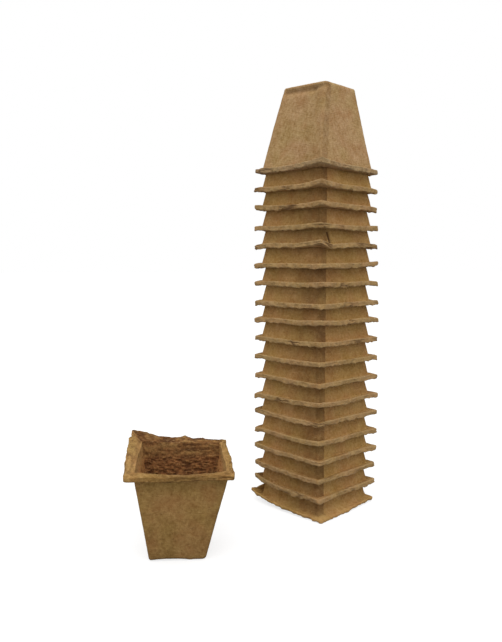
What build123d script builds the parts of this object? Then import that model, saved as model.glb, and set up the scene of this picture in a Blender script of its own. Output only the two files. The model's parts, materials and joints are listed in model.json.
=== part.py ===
from build123d import *
import os

# A pack of square peat pots: a nest of pots that stands mouth down, and one pot beside it, mouth up.
# Every pot is one piece of moulded peat and wood fibre. All lengths are in millimetres, +Z is up, and
# the origin is the middle of the single pot's base, on the surface that the pots stand on.

# The pot, as it comes out of its mould
pot_height = 73.0
mouth_across = 70.5
base_across = 44.0
wall = 2.6
wall_spread = 0.35
floor_thickness = 3.0
brim_reach = 4.75
brim_thickness = 3.6

# Its rounded corners and edges
corner_radius = 2.0
inside_corner_radius = 1.6
base_edge_radius = 1.6
floor_edge_radius = 1.2
brim_corner_radius = 3.0
brim_root_radius = 2.0
brim_edge_radius = 1.2
lip_radius = 1.2

# The nest: a pot goes down over the one below it until the tapered walls almost touch
nest_gap = 0.3
nest_aside = 122.0
nest_behind = 94.0
nest_turn = 39.5

# How thick each nested pot's wall is, from the second pot up, in shares of the spread about the mean:
# a thick wall seats high and a thin one low, which is why the brims are unevenly spaced
wall_shares = (0.6, 0.1, 0.2, 0, 0.5, -0.1, 0.9, 0.7, 0.5, 0.8, -0.7, 0.9, 0, 0.6, -0.5, 0.8, 0, 0)

# The brim's outer width, and how far the wall leans in from the mouth to the base: in all, and for each
# millimetre of depth
brim_across = mouth_across + 2 * brim_reach
inset = (mouth_across - base_across) / 2
lean = inset / pot_height


def tapered_block(across, inward, depth):
    """A square block that hangs from the workplane and leans in evenly on all four sides."""
    far = across - inward
    hang = (-90, 0, 0)
    on_mouth = (Align.CENTER, Align.MIN, Align.CENTER)
    Wedge(across, depth, across, inward, inward, far, far, rotation=hang, align=on_mouth)


def mould_pot(label, mouth, pot_wall):
    """One pot: the plane is its mouth, and the plane's normal points out of it."""
    inner_depth = pot_height - floor_thickness

    # The hollow: the inside of the wall, down to the floor
    with BuildPart() as cavity:
        tapered_block(mouth_across - 2 * pot_wall, lean * inner_depth, inner_depth)
        level_edges = cavity.faces().filter_by(Axis.Z).edges()
        fillet(cavity.edges() - level_edges, inside_corner_radius)
        floor_face = cavity.faces().sort_by(Axis.Z)[0]
        fillet(floor_face.edges(), floor_edge_radius)

    # The moulded shell: tapered wall, brim round the mouth, and the hollow taken out
    upright = Axis(mouth.origin, mouth.z_dir)
    with BuildPart(mouth) as pot:
        tapered_block(mouth_across, inset, pot_height)
        level_edges = pot.faces().filter_by(upright).edges()
        fillet(pot.edges() - level_edges, corner_radius)
        base_face = pot.faces().sort_by(upright)[0]
        fillet(base_face.edges(), base_edge_radius)

        with BuildSketch(mouth):
            RectangleRounded(brim_across, brim_across, brim_corner_radius)
        extrude(amount=-brim_thickness)
        brim_underside = pot.faces().filter_by(upright).sort_by(upright)[1]
        fillet(brim_underside.inner_wires()[0].edges(), brim_root_radius)
        brim_faces = pot.faces().filter_by(upright).sort_by(upright)[1:]
        fillet([edge for face in brim_faces for edge in face.outer_wire().edges()], brim_edge_radius)

        add(cavity.part, mode=Mode.SUBTRACT)
        brim_top = pot.faces().filter_by(upright).sort_by(upright)[-1]
        fillet(brim_top.inner_wires()[0].edges(), lip_radius)

    pot.part.label = label
    export_step(pot.part, f"parts/{label}.step")


os.makedirs("parts", exist_ok=True)

# The pot that stands by itself, mouth up
mould_pot("standing_pot", Plane((0, 0, pot_height)), wall)

# The nest, mouths down, from its foot up: each pot's mouth is raised by its seat on the pot below
along_nest = Vector(1, 0, 0).rotate(Axis.Z, nest_turn)
nested_walls = [wall] + [wall + share * wall_spread for share in wall_shares]
mouth_height = 0
for number, pot_wall in enumerate(nested_walls, start=1):
    if number > 1:
        mouth_height += (pot_wall + nest_gap) / lean
    mouth = Plane((nest_aside, nest_behind, mouth_height), x_dir=along_nest, z_dir=(0, 0, -1))
    mould_pot(f"nest_pot_{number:02d}", mouth, pot_wall)
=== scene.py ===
import json
import math
import bmesh
import bpy
from mathutils import Matrix, Vector, noise


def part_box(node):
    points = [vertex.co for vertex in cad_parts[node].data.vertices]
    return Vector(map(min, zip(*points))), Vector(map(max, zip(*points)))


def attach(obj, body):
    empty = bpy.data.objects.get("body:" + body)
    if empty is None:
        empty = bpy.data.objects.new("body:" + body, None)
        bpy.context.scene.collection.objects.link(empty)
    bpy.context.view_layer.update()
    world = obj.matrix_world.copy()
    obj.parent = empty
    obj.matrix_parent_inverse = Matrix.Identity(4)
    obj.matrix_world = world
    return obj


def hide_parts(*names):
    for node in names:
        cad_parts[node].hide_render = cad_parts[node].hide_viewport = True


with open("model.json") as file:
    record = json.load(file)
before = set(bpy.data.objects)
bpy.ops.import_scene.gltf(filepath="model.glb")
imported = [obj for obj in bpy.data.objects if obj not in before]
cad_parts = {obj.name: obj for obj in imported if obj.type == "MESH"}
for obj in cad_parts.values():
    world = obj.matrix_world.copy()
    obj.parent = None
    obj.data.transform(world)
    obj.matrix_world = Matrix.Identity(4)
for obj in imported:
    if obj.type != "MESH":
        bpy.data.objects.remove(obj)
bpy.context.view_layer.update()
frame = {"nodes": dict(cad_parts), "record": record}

# The pot's moulding.
# A square peat pot is one piece: wet peat and wood fibre drawn on to a mesh former and dried. Outside it
# keeps the former's flat faces, and round its mouth stands a thick brim that is never trimmed.
stand_low, stand_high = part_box("standing_pot")
pot_height = stand_high.z - stand_low.z
brim_half = (stand_high.x - stand_low.x) / 2
brim_reach = 0.00475
mouth_half = brim_half - brim_reach
base_half = 0.022
lean = (mouth_half - base_half) / pot_height
corner_radius = 0.0013
inside_corner_radius = 0.0016
base_corner_radius = 0.0034
base_edge_radius = 0.0028
floor_thickness = 0.003
floor_edge_radius = 0.0012
brim_thickness = 0.0034
brim_edge_thickness = 0.0044
brim_root_radius = 0.0012
tight_root = (brim_root_radius, brim_root_radius, brim_edge_thickness)
brim_corner_radius = 0.0016
brim_edge_radius = 0.0009
lip_radius = 0.0012
lip_bend_share, lip_inside_share = 0.5, 0.25
lip_bend_depth = 0.010
arc_steps, root_steps, corner_steps = 3, 6, 6
underside_bands, edge_bands, rim_bands = 4, 4, 10


def quarter(step, steps=arc_steps):
    """The sine and cosine of a step of a quarter turn."""
    turn = math.pi / 2 * step / steps
    return math.sin(turn), math.cos(turn)


def pot_profile(wall, wall_bands, inner_bands, flare):
    """The line that the skin follows, from under the base, up, round the brim and down to the floor.

    Each stop is half the width, the height, the corner radius, the bands up to it, 1 on the inside, and
    how much of the brim's bends it takes. A flare is how far out and how far up the root of the brim goes,
    and how thick the brim's edge is."""
    root_reach, root_rise, edge_thickness = flare
    stops = []
    base_core = base_half + lean * base_edge_radius - base_edge_radius
    for step in range(arc_steps + 1):
        out, down = quarter(step)
        corner = base_corner_radius - base_edge_radius * (1 - out)
        stops.append((base_core + base_edge_radius * out, base_edge_radius * (1 - down), corner, 1, 0, 0))

    root_height = pot_height - brim_thickness - root_rise
    root_half = base_half + lean * root_height
    stops.append((root_half, root_height, corner_radius, wall_bands, 0, 0))
    for step in range(1, root_steps + 1):
        up, across = quarter(step, root_steps)
        half = root_half + root_reach * (1 - across)
        bend = max(half - mouth_half, 0) / brim_reach
        stops.append((half, root_height + root_rise * up, corner_radius, 1, 0, bend))

    edge_core = brim_half - brim_edge_radius
    edge_foot = pot_height - edge_thickness + brim_edge_radius
    for step in range(arc_steps + 1):
        out, down = quarter(step)
        half = edge_core + brim_edge_radius * out
        bands = 1 if step else underside_bands
        stops.append((half, edge_foot - brim_edge_radius * down, brim_corner_radius, bands, 0, 1))
    for step in range(arc_steps + 1):
        up, out = quarter(step)
        height = pot_height - brim_edge_radius * (1 - up)
        bands = 1 if step else edge_bands
        stops.append((edge_core + brim_edge_radius * out, height, brim_corner_radius, bands, 0, 1))

    lip_core = mouth_half - wall + lip_radius
    for step in range(arc_steps + 1):
        inward, up = quarter(step)
        half = lip_core - lip_radius * inward
        height = pot_height - lip_radius * (1 - up)
        corner = inside_corner_radius + lip_radius * up
        bands = 1 if step else rim_bands
        stops.append((half, height, corner, bands, lip_inside_share, lip_bend_share))
    half = mouth_half - wall - lean * lip_bend_depth
    lip_bands = math.ceil(inner_bands * lip_bend_depth / pot_height)
    stops.append((half, pot_height - lip_bend_depth, inside_corner_radius, lip_bands, 1, 0))

    floor_core_height = floor_thickness + floor_edge_radius
    floor_half = mouth_half - wall - lean * (pot_height - floor_core_height)
    for step in range(arc_steps + 1):
        down, out = quarter(step)
        inset = floor_edge_radius * (1 - out)
        height = floor_core_height - floor_edge_radius * down
        bands = 1 if step else inner_bands
        stops.append((floor_half - inset, height, inside_corner_radius - inset, bands, 1, 0))
    return stops


def start_ring(mesh, stop, side_steps):
    """A square of edges with round corners, as the first loop of the skin."""
    half, height, corner = stop[:3]
    place = Matrix.Translation((0, 0, height))
    bmesh.ops.create_grid(mesh, x_segments=1, y_segments=1, size=half, matrix=place)
    bmesh.ops.bevel(mesh, geom=mesh.verts[:], offset=corner, affect="VERTICES", segments=corner_steps,
                    profile=0.5, material=-1)
    sides = sorted(mesh.edges, key=lambda edge: edge.calc_length())[-4:]
    bmesh.ops.subdivide_edges(mesh, edges=sides, cuts=side_steps - 1)
    bmesh.ops.delete(mesh, geom=mesh.faces[:], context="FACES_ONLY")
    return mesh.edges[:]


def draw_out(mesh, ring, before, after):
    """Extrude the loop to the next stop, keeping its corners round, and cut the new skin into bands."""
    grown = bmesh.ops.extrude_edge_only(mesh, edges=ring)["geom"]
    verts = {item for item in grown if isinstance(item, bmesh.types.BMVert)}
    old_flat, old_corner = before[0] - before[2], before[2]
    half, height, corner, bands, inside, bend = after
    step_length = math.hypot(half - before[0], height - before[1])
    layers = mesh.verts.layers.float
    for vert in verts:
        for axis in (0, 1):
            reach = abs(vert.co[axis])
            if reach > old_flat:
                reach = half - corner + (reach - old_flat) * corner / old_corner
            else:
                reach = reach * (half - corner) / old_flat
            vert.co[axis] = math.copysign(reach, vert.co[axis])
        vert.co.z = height
        vert[layers["run"]] += step_length
        vert[layers["inside"]] = inside
        vert[layers["bend"]] = bend
    edges = {edge for vert in verts for edge in vert.link_edges}
    new_ring = [edge for edge in edges if edge.verts[0] in verts and edge.verts[1] in verts]
    if bands > 1:
        bmesh.ops.subdivide_edges(mesh, edges=list(edges.difference(new_ring)), cuts=bands - 1)
    return new_ring


def close_end(mesh, ring, stop, inside):
    """Fill a loop with a square of small faces, joined to it all round."""
    squares, margin_share = 20, 0.92
    half, height, corner = stop[:3]
    place = Matrix.Translation((0, 0, height))
    verts = bmesh.ops.create_grid(mesh, x_segments=squares, y_segments=squares, matrix=place,
                                  size=(half - corner) * margin_share)["verts"]
    inside_layer = mesh.verts.layers.float["inside"]
    for vert in verts:
        vert[inside_layer] = inside
    rim = {edge for vert in verts for edge in vert.link_edges if edge.is_boundary}
    bmesh.ops.bridge_loops(mesh, edges=ring + list(rim))


def mould_pot(wall, side_steps, wall_bands, inner_bands, flare=tight_root):
    """A clean pot on its base at the origin, as it leaves the former."""
    mesh = bmesh.new()
    for name in ("run", "inside", "bend", "painted_shade", "fray_and_highlight", "tone"):
        mesh.verts.layers.float.new(name)
    stops = pot_profile(wall, wall_bands, inner_bands, flare)
    ring = start_ring(mesh, stops[0], side_steps)
    first = ring
    for before, after in zip(stops, stops[1:]):
        ring = draw_out(mesh, ring, before, after)
    close_end(mesh, ring, stops[-1], 1)
    close_end(mesh, first, stops[0], 0)
    bmesh.ops.recalc_face_normals(mesh, faces=mesh.faces[:])
    return mesh


# The dried skin.
# Drying pulls shallow hollows into the flat outside, leaves clumps of fibre on the inside, and splits,
# frays and bends the brim. The walls' relief is shallow enough to keep nested pots clear of each other.
hollow_size, hollow_depth = 0.020, 0.0003
dimple_size, dimple_depth = 0.005, 0.0002
grain_size, grain_depth = 0.0017, 0.00007
swell = 0.00015
# Painted shade on two walls near one corner: its reach from the end, how far round the corner it laps, where
# it starts above the base, and its extra at the corner.
side_shade_width, side_shade_lap, side_shade_start = 0.050, 0.0085, 0.003
side_shade_corner_share, side_shade_corner_width = 0.45, 0.006
ridge_length, ridge_squat, ridge_depth = 0.0044, 2.2, 0.0009
ridge_crest, ridge_steepness, ridge_level, ridge_lowest = 0.4, 2, 0.5, -0.7
crumb_size, crumb_share = 0.0017, 0.45
# Painted shade in the hollows between the inside ridges and painted highlight on their crests.
ridge_shade, ridge_highlight, ridge_contrast = 0.64, 0.28, 2
tear_size, tear_depth = 0.012, 0.0010
fray_size, fray_depth = 0.0046, 0.0008
rag_size, rag_depth, rag_lift_share = 0.0066, 0.0012, 0.25
torn_fall, torn_finer, torn_layers = 0.8, 2.0, 3
split_length, split_spacing, split_width = 0.016, 0.0020, 0.25
# Painted shade in the brim's splits.
split_depth, split_shade = 0.0006, 0.85
split_patch, split_contrast = 0.022, 3
wave_length, wave_height = 0.040, 0.0008
seed_strides = (13.7, 7.9, 3.1)


def ease(amount):
    """0 to 1 with soft ends."""
    amount = min(max(amount, 0), 1)
    return amount * amount * (3 - 2 * amount)


def seed_shift(seed):
    """Where in the noise a pot's own pattern starts."""
    return Vector([seed * stride for stride in seed_strides])


def patches(place):
    """Smooth noise from 0 to 1."""
    return 0.5 + 0.5 * noise.noise(place)


def torn(place):
    """Uneven noise, coarse and fine together."""
    return noise.fractal(place, torn_fall, torn_finer, torn_layers)


def dry_walls(mesh, shift, ridge_rise, side_shade):
    """Hollows and grain outside and wavy ridges inside; ridge_rise lets these stand into the hollow too.

    Two walls carry painted shade, darker and redder towards one end and a little way round the corner there.
    Inside, the hollows between the ridges carry painted shade and their crests painted highlight."""
    mesh.normal_update()
    layers = mesh.verts.layers.float
    for vert in mesh.verts:
        place, within = vert.co, vert[layers["inside"]]
        hollow = patches(place / hollow_size + shift)
        dimple = patches(place / dimple_size + shift)
        grain = noise.noise(place / grain_size + shift)
        sink = hollow_depth * hollow + dimple_depth * dimple + grain_depth * grain - swell
        past_corner = abs(place.y) - abs(place.x)
        to_end = abs(place.x) + (place.y if place.x > 0 else -place.y)
        # Painted shade, darker and redder towards one end of two walls and a little way round the corner.
        shade_paint = 0
        if past_corner < side_shade_lap and to_end < side_shade_width:
            shade_paint = ease(1 - to_end / side_shade_width) * (hollow + dimple)
            shade_paint += side_shade_corner_share * ease(1 - to_end / side_shade_corner_width)
            shade_paint *= side_shade * ease(place.z / side_shade_start)
        if within > 0:
            squat = Vector((place.x, place.y, place.z * ridge_squat))
            ridge = ridge_crest - ridge_steepness * abs(noise.noise(squat / ridge_length + shift))
            ridge += crumb_share * noise.noise(squat / crumb_size - shift)
            ridge = max(ridge, ridge_lowest)
            sink += within * (ridge_depth * (ridge_level - ridge) - ridge_rise - sink)
            # Inside, painted shade between the ridges takes the place of the wall shade, and painted
            # highlight goes on the crests.
            shade_paint = within * ridge_shade * ease(-ridge)
            vert[layers["fray_and_highlight"]] = within * ridge_highlight * ease(ridge_contrast * ridge)
        vert.co = place - vert.normal * sink
        vert[layers["painted_shade"]] = shade_paint if vert[layers["bend"]] == 0 else 0


def fray_brim(mesh, shift, cracked, frayed, pale=0):
    """Tear and fray the brim, hang rags on its edge by the mouth, split it here and there, let it wave;
    paint shade in the splits, and highlight with the paler frayed fibre on its edge.
    """
    mesh.normal_update()
    layers = mesh.verts.layers.float
    core = mouth_half - corner_radius
    for vert in mesh.verts:
        bend = vert[layers["bend"]]
        if bend == 0:
            continue
        place = vert.co.copy()
        beyond = [math.copysign(max(abs(reach) - core, 0), reach) for reach in place.xy]
        outward = Vector((*beyond, 0)).normalized()
        flat = Vector((place.x, place.y, 0))
        tear = noise.noise(flat / tear_size - shift)
        fray = torn(place / fray_size - shift)
        rag = max(torn(flat / rag_size + shift), -rag_lift_share)
        mouth_side = ease(1 - (pot_height - place.z) / brim_edge_thickness)
        layered = Vector((*(place.xy / split_length), vert[layers["run"]] / split_spacing))
        split = max(1 - abs(noise.noise(layered + shift)) / split_width, 0)
        split *= ease(cracked + split_contrast * noise.noise(place / split_patch - shift))
        edge = bend * bend
        move = outward * edge * frayed * (tear_depth * tear + fray_depth * fray)
        move -= vert.normal * split_depth * split * bend
        move.z += edge * frayed * mouth_side * rag_depth * rag
        move.z += bend * wave_height * noise.noise(flat / wave_length + shift)
        vert.co = place + move
        # Painted shade in the splits, and painted highlight with the paler frayed fibre on the brim's edge.
        vert[layers["painted_shade"]] = max(vert[layers["painted_shade"]], split_shade * split * bend)
        vert[layers["fray_and_highlight"]] = max(vert[layers["fray_and_highlight"]], pale * edge)


def bend_brim(mesh, bends):
    """Bend the brim round given points of its outline; each has a reach and a move."""
    bend_layer = mesh.verts.layers.float["bend"]
    for vert in mesh.verts:
        moves = Vector()
        for x, y, reach, move in bends:
            near = max(1 - math.hypot(vert.co.x - x, vert.co.y - y) / reach, 0)
            moves += near * math.sqrt(near) * Vector(move)
        vert.co += vert[bend_layer] * moves


def press_in(mesh, start, end, inward, thick, width, depth, shade_paint):
    """Press a groove into a wall along a line, taking the skin that lies within thick of it;
    paint shade into the groove.
    """
    painted_shade_layer = mesh.verts.layers.float["painted_shade"]
    line = end - start
    for vert in mesh.verts:
        along = min(max((vert.co - start).dot(line) / line.length_squared, 0), 1)
        away = vert.co - start - line * along
        deep = away.dot(inward)
        press = ease(1 - (away - inward * deep).length / width)
        if press > 0 and abs(deep) < thick:
            vert.co += inward * depth * press
            vert[painted_shade_layer] = max(vert[painted_shade_layer], shade_paint * press * press)


# Moulded peat fibre.
# Peat and wood pulp dried on a mesh: quite matt, tan outside with fine grain and faint draw marks up the
# walls, paler where the brim is frayed, with painted highlight on brim edges and ridge crests, darker and
# redder inside, with dark specks and pale fibres, and painted shade in cracks, grooves, hollows and on
# shaded walls.
mottle_size, mottle_detail, mottle_share = 0.010, 3.0, 0.34
fleck_size, fleck_detail, fleck_roughness, fleck_share = 0.0024, 3.0, 0.6, 0.56
draw_width, draw_length, draw_detail, draw_share = 0.0014, 0.020, 2.0, 0.10
tan_range, inside_range = (0.32, 0.68), (0.35, 0.86)
inside_browns = ("#4b2c19", "#b07644")
hue_size, hue_detail, hue_low, hue_high = 0.024, 1.0, 0.35, 0.65
olive_tint, rosy_tint = "#f8faec", "#fffafa"
rust_size, rust_detail, rust_low, rust_high, rust_most = 0.012, 2.0, 0.50, 0.75, 0.35
# The second brown here is the colour of painted shade in cracks, grooves, hollows and on shaded walls.
rust, painted_shade_brown = "#8f6033", "#452a15"
fibre_width, fibre_length, fibre_detail, fibre_curl = 0.0010, 0.006, 2.0, 2.0
fibre_low, fibre_high, fibre_most, pale_fibre = 0.60, 0.78, 0.35, "#c9a877"
speck_size, speck_detail, speck_low, speck_high, speck_most = 0.0016, 1.0, 0.64, 0.76, 0.4
speck_brown = "#5a3c1e"
weave_spacing, weave_relief, fleck_relief = 0.0015, 0.08, 1.2
relief_strength, relief_height = 0.5, 0.0006
peat_roughness, peat_shine = 0.95, 0.15


def linear(colour):
    """An sRGB hex colour as linear light."""
    parts = [int(colour[at:at + 2], 16) / 255 for at in (1, 3, 5)]
    return [p / 12.92 if p <= 0.04045 else ((p + 0.055) / 1.055) ** 2.4 for p in parts] + [1]


def add_node(tree, kind, links=None, **settings):
    """A node with its settings; links gives each input a value or another node's socket."""
    node = tree.nodes.new(kind)
    for name, value in settings.items():
        setattr(node, name, value)
    for name, value in (links or {}).items():
        if isinstance(value, bpy.types.NodeSocket):
            tree.links.new(value, node.inputs[name])
        else:
            node.inputs[name].default_value = value
    return node


def moulded_peat(name, turn, tans, frayed):
    """Peat fibre between two tans, whose draw marks follow the walls of pots that stand at this turn."""
    material = bpy.data.materials.new(name)
    material.use_nodes = True
    tree = material.node_tree
    shader = tree.nodes["Principled BSDF"]
    place = add_node(tree, "ShaderNodeTexCoord").outputs["Object"]
    square = add_node(tree, "ShaderNodeMapping", {"Vector": place, "Rotation": (0, 0, -turn)})
    square = square.outputs["Vector"]
    parts = add_node(tree, "ShaderNodeSeparateXYZ", {"Vector": square}).outputs
    along = add_node(tree, "ShaderNodeMath", {0: parts["X"], 1: parts["Y"]}, operation="ADD").outputs[0]

    # Mottles, fine flecks and draw marks, added up to one shade
    mottle = add_node(tree, "ShaderNodeTexNoise", {"Vector": square, "Scale": 1 / mottle_size,
                                                   "Detail": mottle_detail}).outputs["Fac"]
    fleck = add_node(tree, "ShaderNodeTexNoise", {"Vector": square, "Scale": 1 / fleck_size,
                                                  "Detail": fleck_detail,
                                                  "Roughness": fleck_roughness}).outputs["Fac"]
    marks = add_node(tree, "ShaderNodeCombineXYZ", {"X": along, "Z": parts["Z"]}).outputs["Vector"]
    marks = add_node(tree, "ShaderNodeMapping", {"Vector": marks,
                     "Scale": (1 / draw_width, 1, 1 / draw_length)}).outputs["Vector"]
    draw = add_node(tree, "ShaderNodeTexNoise", {"Vector": marks, "Scale": 1.0,
                                                 "Detail": draw_detail}).outputs["Fac"]
    shade = add_node(tree, "ShaderNodeAttribute", attribute_name="tone").outputs["Fac"]
    for layer, share in ((mottle, mottle_share), (fleck, fleck_share), (draw, draw_share)):
        shade = add_node(tree, "ShaderNodeMath", {0: layer, 1: share, 2: shade},
                         operation="MULTIPLY_ADD").outputs[0]
    outer = add_node(tree, "ShaderNodeValToRGB", {"Fac": shade})
    inner = add_node(tree, "ShaderNodeValToRGB", {"Fac": shade})
    for ramp, colours, stops in ((outer, tans, tan_range), (inner, inside_browns, inside_range)):
        for element, colour, stop in zip(ramp.color_ramp.elements, colours, stops):
            element.position = stop
            element.color = linear(colour)

    # Outside, wide olive and rosy patches and small rusty ones, and the redder inside
    hue = add_node(tree, "ShaderNodeTexNoise", {"Vector": square, "Scale": 1 / hue_size,
                                                "Detail": hue_detail}).outputs["Fac"]
    hue = add_node(tree, "ShaderNodeMapRange", {"Value": hue, "From Min": hue_low,
                                                "From Max": hue_high}).outputs["Result"]
    tint = add_node(tree, "ShaderNodeMix", {"Factor": hue, "A": linear(olive_tint), "B": linear(rosy_tint)},
                    data_type="RGBA").outputs["Result"]
    skin = add_node(tree, "ShaderNodeMix", {"Factor": 1.0, "A": outer.outputs["Color"], "B": tint},
                    data_type="RGBA", blend_type="MULTIPLY").outputs["Result"]
    patch = add_node(tree, "ShaderNodeTexNoise", {"Vector": square, "Scale": 1 / rust_size,
                                                  "Detail": rust_detail}).outputs["Fac"]
    patch = add_node(tree, "ShaderNodeMapRange", {"Value": patch, "From Min": rust_low,
                                                  "From Max": rust_high,
                                                  "To Max": rust_most}).outputs["Result"]
    skin = add_node(tree, "ShaderNodeMix", {"Factor": patch, "A": skin, "B": linear(rust)},
                    data_type="RGBA").outputs["Result"]
    inside = add_node(tree, "ShaderNodeAttribute", attribute_name="inside").outputs["Fac"]
    skin = add_node(tree, "ShaderNodeMix", {"Factor": inside, "A": skin, "B": inner.outputs["Color"]},
                    data_type="RGBA").outputs["Result"]

    # Over these, the pale frayed brim with its painted highlight, the painted shade of cracks, grooves,
    # hollows and shaded walls, pale fibres and dark specks
    fray_and_highlight = add_node(tree, "ShaderNodeAttribute", attribute_name="fray_and_highlight").outputs["Fac"]
    fray_and_highlight = add_node(tree, "ShaderNodeMath", {0: fray_and_highlight, 1: fleck}, operation="MULTIPLY").outputs[0]
    painted_shade = add_node(tree, "ShaderNodeAttribute", attribute_name="painted_shade").outputs["Fac"]
    stretched = add_node(tree, "ShaderNodeMapping", {"Vector": square,
                         "Scale": (1 / fibre_length, 1 / fibre_length, 1 / fibre_width)}).outputs["Vector"]
    fibre = add_node(tree, "ShaderNodeTexNoise", {"Vector": stretched, "Scale": 1.0, "Detail": fibre_detail,
                                                  "Distortion": fibre_curl}).outputs["Fac"]
    fibre = add_node(tree, "ShaderNodeMapRange", {"Value": fibre, "From Min": fibre_low,
                                                  "From Max": fibre_high,
                                                  "To Max": fibre_most}).outputs["Result"]
    speck = add_node(tree, "ShaderNodeTexNoise", {"Vector": square, "Scale": 1 / speck_size,
                                                  "Detail": speck_detail}).outputs["Fac"]
    speck = add_node(tree, "ShaderNodeMapRange", {"Value": speck, "From Min": speck_low,
                                                  "From Max": speck_high,
                                                  "To Max": speck_most}).outputs["Result"]
    # The frayed colour is the paler colour of frayed fibre on the brim, together with painted highlight on
    # the brim's edge, its left side and the crests of ridges.
    covers = ((fray_and_highlight, frayed), (painted_shade, painted_shade_brown), (fibre, pale_fibre), (speck, speck_brown))
    for cover, colour in covers:
        skin = add_node(tree, "ShaderNodeMix", {"Factor": cover, "A": skin, "B": linear(colour)},
                        data_type="RGBA").outputs["Result"]

    # The same flecks and draw marks as relief, with the weave of the former's mesh
    relief = add_node(tree, "ShaderNodeMath", {0: fleck, 1: fleck_relief, 2: draw},
                      operation="MULTIPLY_ADD").outputs[0]
    for thread in (along, parts["Z"]):
        wave = add_node(tree, "ShaderNodeMath", {0: thread, 1: 2 * math.pi / weave_spacing},
                        operation="MULTIPLY").outputs[0]
        wave = add_node(tree, "ShaderNodeMath", {0: wave}, operation="SINE").outputs[0]
        relief = add_node(tree, "ShaderNodeMath", {0: wave, 1: weave_relief, 2: relief},
                          operation="MULTIPLY_ADD").outputs[0]
    bump = add_node(tree, "ShaderNodeBump", {"Height": relief, "Strength": relief_strength,
                                             "Distance": relief_height})
    tree.links.new(skin, shader.inputs["Base Color"])
    tree.links.new(bump.outputs["Normal"], shader.inputs["Normal"])
    shader.inputs["Roughness"].default_value = peat_roughness
    shader.inputs["Specular IOR Level"].default_value = peat_shine
    return material


def set_pot(name, mesh, place, material, tone=0):
    """Put a finished pot where its CAD node is, on its own body."""
    tone_layer = mesh.verts.layers.float["tone"]
    for vert in mesh.verts:
        vert[tone_layer] += tone
    for face in mesh.faces:
        face.smooth = True
    mesh.transform(place)
    data = bpy.data.meshes.new(name + "_mould")
    mesh.to_mesh(data)
    mesh.free()
    data.materials.append(material)
    pot = bpy.data.objects.new(name + "_peat", data)
    bpy.context.scene.collection.objects.link(pot)
    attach(pot, name)
    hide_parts(name)


# The single pot.
# It stands on its base, mouth up and empty, and has dried askew: the mouth is shifted and turned against
# the base. The brim stands up on the left, most at the back corner, sags in front and is rough behind.
stand_wall, stand_seed, stand_ridge_rise = 0.0026, 41, 0.0004
stand_side_shade, stand_cracked, stand_frayed = 0.08, 0.9, 0.5
# The last tan is for frayed fibre and painted highlight.
stand_tans, stand_fray_highlight_tan = ("#7e5e31", "#b08d59"), "#c6a566"
# Each bend of the brim: its place on the outline, how far it reaches, and its move
stand_bends = [
    (-brim_half, brim_half, 0.026, (-0.0018, 0.0005, 0.0096)),
    (-0.024, brim_half, 0.042, (0, 0, 0.0029)),
    (0.004, brim_half, 0.075, (0, 0, 0.0049)),
    (-brim_half, 0.005, 0.055, (-0.0014, 0, 0.0060)),
    (brim_half, 0.028, 0.050, (-0.0026, 0, 0)),
    (brim_half, -brim_half, 0.045, (0, 0, -0.0030)),
    (-0.010, -brim_half, 0.050, (0, 0, -0.0014)),
    (-brim_half, -brim_half, 0.040, (0, 0, -0.0008)),
]


def roughen_back(mesh, shift):
    """Streak the back of the brim with ridges of fibre, with painted shade between them and painted
    highlight on them.
    """
    streak_length, streak_width, streak_depth = 0.010, 0.0024, 0.0009
    streak_inside, streak_shade, streak_highlight, streak_contrast = 0.8, 0.8, 0.4, 2
    start_share, ease_share, corner_clear = 0.8, 0.12, 0.010
    layers = mesh.verts.layers.float
    for vert in mesh.verts:
        back = ease((vert.co.y / mouth_half - start_share) / ease_share)
        back *= ease((brim_half - vert.co.x) / corner_clear)
        if back > 0 and vert[layers["bend"]] > 0:
            x, y, z = vert.co
            streak = torn(Vector((x / streak_length, y / streak_width, z / streak_width)) + shift)
            vert.co.z += back * streak_depth * streak
            shade_paint = back * streak_shade * ease(-streak_contrast * streak)
            pale = back * streak_highlight * ease(streak_contrast * streak)
            vert[layers["inside"]] = max(vert[layers["inside"]], back * streak_inside)
            vert[layers["painted_shade"]] = max(vert[layers["painted_shade"]], shade_paint)
            vert[layers["fray_and_highlight"]] = max(vert[layers["fray_and_highlight"]], pale)


def sag_front(mesh):
    """Let the lip sink along the middle of the front, more than the brim's outer edge, and paint shade on
    the front of the brim.
    """
    sag, sag_middle, sag_half, sag_depth, edge_share = 0.0030, 0.003, 0.036, 0.012, 0.3
    start_share, ease_share, front_brim_shade = 0.75, 0.2, 0.45
    layers = mesh.verts.layers.float
    for vert in mesh.verts:
        front = ease((-vert.co.y / mouth_half - start_share) / ease_share)
        front *= ease(1 - abs(vert.co.x - sag_middle) / sag_half)
        high = ease(1 + (vert.co.z - pot_height) / sag_depth)
        inward = 1 - (1 - edge_share) * vert[layers["bend"]]
        vert.co.z -= sag * front * high * inward
        shade_paint = front_brim_shade * front * vert[layers["bend"]]
        vert[layers["painted_shade"]] = max(vert[layers["painted_shade"]], shade_paint)


def fold_lip(mesh):
    """Fold the lip of the left wall inwards, most at the back."""
    fold, fold_depth, fold_front, fold_start = 0.0022, 0.014, -0.020, 0.012
    inside_layer = mesh.verts.layers.float["inside"]
    for vert in mesh.verts:
        if vert[inside_layer] > 0:
            back = ease((vert.co.y - fold_front) / (mouth_half - fold_front))
            left = ease((-vert.co.x - fold_start) / (mouth_half - stand_wall - fold_start))
            vert.co.x += fold * back * left * ease(1 - (pot_height - vert.co.z) / fold_depth)


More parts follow.
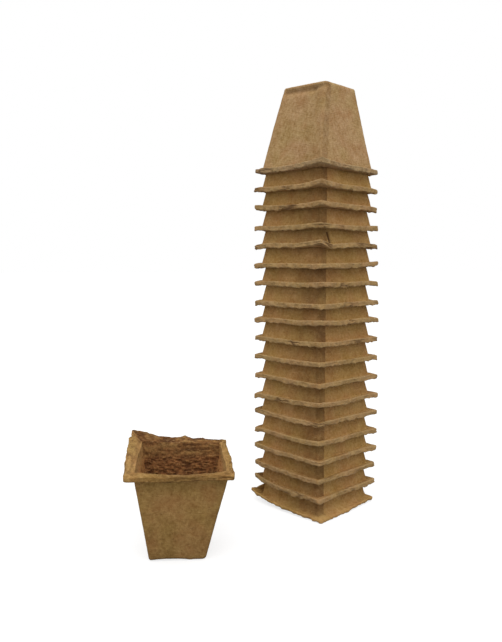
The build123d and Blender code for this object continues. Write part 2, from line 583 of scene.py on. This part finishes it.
def paint_light_on_sides(mesh):
    """Paint light on the inside of the left and right walls towards the mouth: less of the inner colour and
    of the painted shade there, and a lighter tone.
    """
    inside_share, fade_depth, side_painted_light = 0.8, 0.034, 0.46
    layers = mesh.verts.layers.float
    for vert in mesh.verts:
        if vert[layers["inside"]] > 0 and abs(vert.co.x) > abs(vert.co.y):
            deep = ease((pot_height - vert.co.z) / fade_depth)
            for name in ("inside", "painted_shade"):
                vert[layers[name]] *= inside_share + (1 - inside_share) * deep
            vert[layers["tone"]] += side_painted_light * vert[layers["inside"]] * (1 - deep)


def age_outside(mesh):
    """Darken the brim a little, paint light on its left side, and darken the walls towards the foot."""
    brim_tone, left_painted_light = -0.08, 0.4
    foot_dark, foot_dark_height = 0.15, 0.045
    layers = mesh.verts.layers.float
    for vert in mesh.verts:
        bend = vert[layers["bend"]]
        vert[layers["tone"]] += brim_tone * bend
        if vert.co.x < -mouth_half:
            vert[layers["fray_and_highlight"]] = max(vert[layers["fray_and_highlight"]], left_painted_light * bend)
        if vert[layers["inside"]] == 0:
            foot_darkening = foot_dark * ease(1 - vert.co.z / foot_dark_height)
            vert[layers["painted_shade"]] = max(vert[layers["painted_shade"]], foot_darkening)


def set_askew(mesh):
    """Arch the edges of the base, flare the walls, and shift and turn the mouth against the base."""
    arch_rise, arch_height, arch_middle, arch_half = 0.0010, 0.012, -0.007, 0.016
    flare_share, flare_level_share = 0.03, 0.85
    mouth_aside, mouth_turn, brim_aside = 0.0036, math.radians(1.6), -0.0016
    bend_layer = mesh.verts.layers.float["bend"]
    for vert in mesh.verts:
        up, bend = vert.co.z / pot_height, vert[bend_layer]
        along = vert.co.y if abs(vert.co.x) > abs(vert.co.y) else vert.co.x - arch_middle
        arch = max(1 - (along / arch_half) ** 2, 0)
        vert.co.z += arch_rise * arch * ease(1 - vert.co.z / arch_height)
        vert.co.x *= 1 + flare_share * (up - flare_level_share) * (1 - bend)
        vert.co.xy = Matrix.Rotation(mouth_turn * up, 2) @ vert.co.xy
        vert.co.x += mouth_aside * up + brim_aside * bend


mesh = mould_pot(stand_wall, side_steps=96, wall_bands=64, inner_bands=96)
dry_walls(mesh, seed_shift(stand_seed), stand_ridge_rise, stand_side_shade)
fray_brim(mesh, seed_shift(stand_seed), stand_cracked, stand_frayed)
roughen_back(mesh, seed_shift(stand_seed))
sag_front(mesh)
fold_lip(mesh)
paint_light_on_sides(mesh)
bend_brim(mesh, stand_bends)
age_outside(mesh)
set_askew(mesh)
stand_middle = (stand_low + stand_high) / 2
stand_place = Matrix.Translation((stand_middle.x, stand_middle.y, stand_low.z))
stand_peat = moulded_peat("moulded_peat_fibre", 0, stand_tans, stand_fray_highlight_tan)
set_pot("standing_pot", mesh, stand_place, stand_peat)

# The nest.
# Like pots, mouths down, each pulled over the one below until the walls bind. They are loose, and the
# corners of their brims are bent up or down each in its own way, given in millimetres from the foot up.
nest_gap = 0.0003
# The nest's brims carry painted highlight with their frayed fibre, and two of each pot's walls carry painted
# shade.
nest_side_shade, nest_cracked, nest_frayed, nest_brim_highlight = 0.34, -0.4, 1.0, 0.68
nest_tone, tone_spread = 0.02, 0.05
nest_tans, nest_fray_highlight_tan = ("#936c37", "#b79361"), "#8c7c62"
left_bends = (5.6, 5.5, 1.6, 1.8, -0.4, 0.8, -1.1, 0, 0.3, 0.1,
              -1.4, -0.4, -0.7, -0.5, -1.6, 0.6, 2.2, 1.2, 1.4)
near_bends = (0, 0, 0.3, 0.3, 1.5, 0.3, 1.6, 0.3, 1.2, 1.5,
              1.8, 0.3, 1.5, 0.5, 3.2, 1.8, 1.7, 2.8, 1.5)
right_bends = (1.6, 0, -0.7, -1, -1, -0.6, -1, -1.2, -1.2, -1.3,
               -2, 0, -1.2, 1.1, -1.4, 0, -1.9, -1.6, -0.2)
millimetres_in_metre = 1000
bend_reach, hook_reach, hook = 0.030, 0.008, 0.0008
tip_in, tip_out, tips_per_wave = 0.0006, 0.0016, 28
foot_flare = (0.0052, 0.0110, 0.0028)
# The top pot's tans are paler and greyer than the nest's: painted light on the one pot with no brim above to
# shade it.
top_side_shade, top_lit_tans = 0.12, ("#8e6e42", "#b79973")
top_near_lift, top_near_reach = 0.0028, 0.060
nest_names = sorted(name for name in frame["nodes"] if name.startswith("nest_pot"))
foot_name, torn_name, top_name = nest_names[0], "nest_pot_15", nest_names[-1]
foot_low, foot_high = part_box(foot_name)
nest_middle = (foot_low + foot_high) / 2
foot_mount = next(mount for mount in frame["record"]["mounts"] if mount["name"] == "nest_foot")
nest_turn = math.atan2(foot_mount["pos_m"][1] - nest_middle.y, foot_mount["pos_m"][0] - nest_middle.x)
nest_peat = moulded_peat("moulded_peat_fibre_nested", nest_turn, nest_tans, nest_fray_highlight_tan)
top_lit_peat = moulded_peat("moulded_peat_fibre_top", nest_turn, top_lit_tans, nest_fray_highlight_tan)
upside_down = Matrix.Rotation(math.pi, 4, "X") @ Matrix.Translation((0, 0, -pot_height))


def corner_bends(number):
    """The bends of a pot's left, near and right corners, before the pot is turned upside down."""
    left, near, right = (-bends[number] / millimetres_in_metre
                         for bends in (left_bends, near_bends, right_bends))
    right_out = tip_out * math.sin(2 * math.pi * number / tips_per_wave) - tip_in
    return [
        (-brim_half, -brim_half, bend_reach, (tip_in, tip_in, left)),
        (-brim_half, brim_half, bend_reach, (0, 0, near)),
        (brim_half, brim_half, bend_reach, (right_out, right_out, right)),
    ]


def foot_bends(corners):
    """The bends of the bottom pot: corners shifted, sides swollen, back lifted, left corner curled up."""
    corner_reach, corner_shifts = 0.085, (-0.0014, 0.0020, -0.0010)
    left_swell, right_swell, swell_reach = 0.0022, 0.0008, 0.050
    back_along, back_reach, back_lift = -0.018, 0.040, 0.006
    curl, curl_reach = 0.0024, 0.008
    bends = []
    for (x, y, _, move), shift in zip(corners, corner_shifts):
        bends.append((x, y, corner_reach, (shift, shift, move[2])))
    return bends + [
        (-brim_half, 0, swell_reach, (-left_swell, 0, 0)),
        (0, brim_half, swell_reach, (0, right_swell, 0)),
        (back_along, -brim_half, back_reach, (0, 0, -back_lift)),
        (-brim_half, -brim_half, curl_reach, (0, 0, -curl)),
    ]


def tear_wall(mesh):
    """Slit the right wall close to the near corner, above the brim, with painted shade in it,
    and let the brim sag beside the slit.
    """
    slit_top, slit_foot, slit_from_corner, slit_slant = 0.060, 0.0685, 0.0095, 0.0036
    slit_half_width, slit_depth, slit_thick, slit_shade, slit_cuts = 0.0031, 0.0013, 0.0016, 1, 2
    sag_from_corner, sag_reach, sag = 0.014, 0.016, 0.0022
    inside_layer = mesh.verts.layers.float["inside"]
    start_half, end_half = (base_half + lean * depth for depth in (slit_top, slit_foot))
    start = Vector((slit_from_corner - start_half, start_half, slit_top))
    end = Vector((slit_from_corner + slit_slant - end_half, end_half, slit_foot))
    length = (end - start).length
    near = [edge for edge in mesh.edges
            if all((vert.co - end).length < length and vert[inside_layer] == 0 for vert in edge.verts)]
    bmesh.ops.subdivide_edges(mesh, edges=near, cuts=slit_cuts, use_grid_fill=True)
    press_in(mesh, start, end, Vector((0, -1, 0)), slit_thick, slit_half_width, slit_depth, slit_shade)
    bend_brim(mesh, [(sag_from_corner - brim_half, brim_half, sag_reach, (0, 0, sag))])


def knock_base(mesh):
    """Dent the left wall under the base's edge, with painted shade in the dent, and push the base over
    and round, as a knock did.
    """
    crease_along_shares, crease_heights = (-0.8, 0.5, 1.05), (0.0042, 0.0054, 0.0024)
    crease_width, crease_depth, crease_shade = 0.0048, 0.0016, 0.5
    crease_thick = 2 * stand_wall
    base_aside, base_turn = Vector((0.0013, 0.0013)), math.radians(-4.5)
    base_swell_share, base_lift, fading = 0.03, 0.001, 2
    loose_start, loose_end = 0.0075, 0.015
    inside_layer = mesh.verts.layers.float["inside"]
    points = [Vector((-base_half - lean * height, share * base_half, height))
              for share, height in zip(crease_along_shares, crease_heights)]
    for start, end in zip(points, points[1:]):
        press_in(mesh, start, end, Vector((1, 0, 0)), crease_thick, crease_width, crease_depth, crease_shade)
    for vert in mesh.verts:
        share = max(1 - vert.co.z / pot_height, 0) ** fading
        if vert[inside_layer] > 0:
            share *= ease((loose_end - vert.co.z) / (loose_end - loose_start))
        turn = Matrix.Rotation(base_turn * share, 2)
        vert.co.xy = turn @ vert.co.xy * (1 + base_swell_share * share) + base_aside * share
        vert.co.z -= base_lift * share


mouth_below = None
for number, name in enumerate(nest_names):
    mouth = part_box(name)[0].z
    wall = stand_wall if mouth_below is None else lean * (mouth - mouth_below) - nest_gap
    mouth_below = mouth
    shift = seed_shift(number + 1)
    place = Matrix.Translation((nest_middle.x, nest_middle.y, mouth))
    place = place @ Matrix.Rotation(nest_turn, 4, "Z") @ upside_down
    flare, pale = (foot_flare, 0) if name == foot_name else (tight_root, nest_brim_highlight)
    mesh = mould_pot(wall, side_steps=80, wall_bands=40, inner_bands=16, flare=flare)
    dry_walls(mesh, shift, 0, top_side_shade if name == top_name else nest_side_shade)
    fray_brim(mesh, shift, nest_cracked, nest_frayed, pale)
    bends = corner_bends(number)
    if name == foot_name:
        bends = foot_bends(bends)
    else:
        bends.append((-brim_half, -brim_half, hook_reach, (0, 0, hook)))
    if name == top_name:
        bends.append((-brim_half, brim_half, top_near_reach, (0, 0, -top_near_lift)))
    bend_brim(mesh, bends)
    if name == foot_name:
        for vert in mesh.verts:
            vert.co.z = min(vert.co.z, pot_height)
    if name == torn_name:
        tear_wall(mesh)
    if name == top_name:
        knock_base(mesh)
        set_pot(name, mesh, place, top_lit_peat)
    else:
        set_pot(name, mesh, place, nest_peat, nest_tone + tone_spread * noise.noise(shift))

# The table.
# A plain pale sheet under the pots. To the camera it glows, so that it stays white round the pots' soft
# shadows.
sheet_half, sheet_grey, sheet_roughness = 6.0, "#949494", 0.9
sheet_glow, glow_white = 0.75, "#ffffff"
sheet = bpy.data.meshes.new("pale_table")
mesh = bmesh.new()
bmesh.ops.create_grid(mesh, x_segments=1, y_segments=1, size=sheet_half)
mesh.to_mesh(sheet)
mesh.free()
table = bpy.data.objects.new("pale_table", sheet)
bpy.context.scene.collection.objects.link(table)
pale_sheet = bpy.data.materials.new("pale_sheet")
pale_sheet.use_nodes = True
tree = pale_sheet.node_tree
shader = tree.nodes["Principled BSDF"]
shader.inputs["Base Color"].default_value = linear(sheet_grey)
shader.inputs["Roughness"].default_value = sheet_roughness
shader.inputs["Emission Color"].default_value = linear(glow_white)
seen = add_node(tree, "ShaderNodeLightPath").outputs["Is Camera Ray"]
glow = add_node(tree, "ShaderNodeMath", {0: seen, 1: sheet_glow}, operation="MULTIPLY").outputs[0]
tree.links.new(glow, shader.inputs["Emission Strength"])
sheet.materials.append(pale_sheet)

# The light.
# An even white surround, a little brighter to the camera than to the pots, and a broad soft lamp high up,
# in front.
surround_white, surround_light, surround_seen = "#ffffff", 0.90, 1.0
lamp_place, lamp_aim = Vector((0.07, -0.85, 1.95)), Vector((0.1, 0.08, 0.2))
lamp_size, lamp_power = 1.6, 24
surround = bpy.data.worlds.new("white_surround")
bpy.context.scene.world = surround
surround.use_nodes = True
tree = surround.node_tree
sky = tree.nodes["Background"]
seen = add_node(tree, "ShaderNodeLightPath").outputs["Is Camera Ray"]
strength = add_node(tree, "ShaderNodeMapRange", {"Value": seen, "To Min": surround_light,
                                                 "To Max": surround_seen}).outputs["Result"]
sky.inputs["Color"].default_value = linear(surround_white)
tree.links.new(strength, sky.inputs["Strength"])
lamp = bpy.data.lights.new("key", "AREA")
lamp.size = lamp_size
lamp.energy = lamp_power
lamp_holder = bpy.data.objects.new("key", lamp)
lamp_holder.location = lamp_place
lamp_holder.rotation_euler = (lamp_aim - lamp_place).to_track_quat("-Z", "Y").to_euler()
bpy.context.scene.collection.objects.link(lamp_holder)

# The camera.
# It looks at the pots from a little above the middle of the nest, tipped slightly down.
camera_place = Vector((0.0203, -0.5146, 0.2333))
camera_heading = math.radians(85.93)
camera_tip = math.radians(6.10)
image_height = 642
focal_pixels = 682.6
sensor_height = 24.0
farthest_seen = 50
lens = bpy.data.cameras.new("camera")
lens.sensor_fit = "VERTICAL"
lens.sensor_height = sensor_height
lens.lens = sensor_height * focal_pixels / image_height
lens.clip_end = farthest_seen
camera = bpy.data.objects.new("camera", lens)
camera.location = camera_place
camera.rotation_euler = (math.pi / 2 - camera_tip, 0, camera_heading - math.pi / 2)
bpy.context.scene.collection.objects.link(camera)
bpy.context.scene.camera = camera
bpy.context.scene.view_settings.view_transform = "Standard"
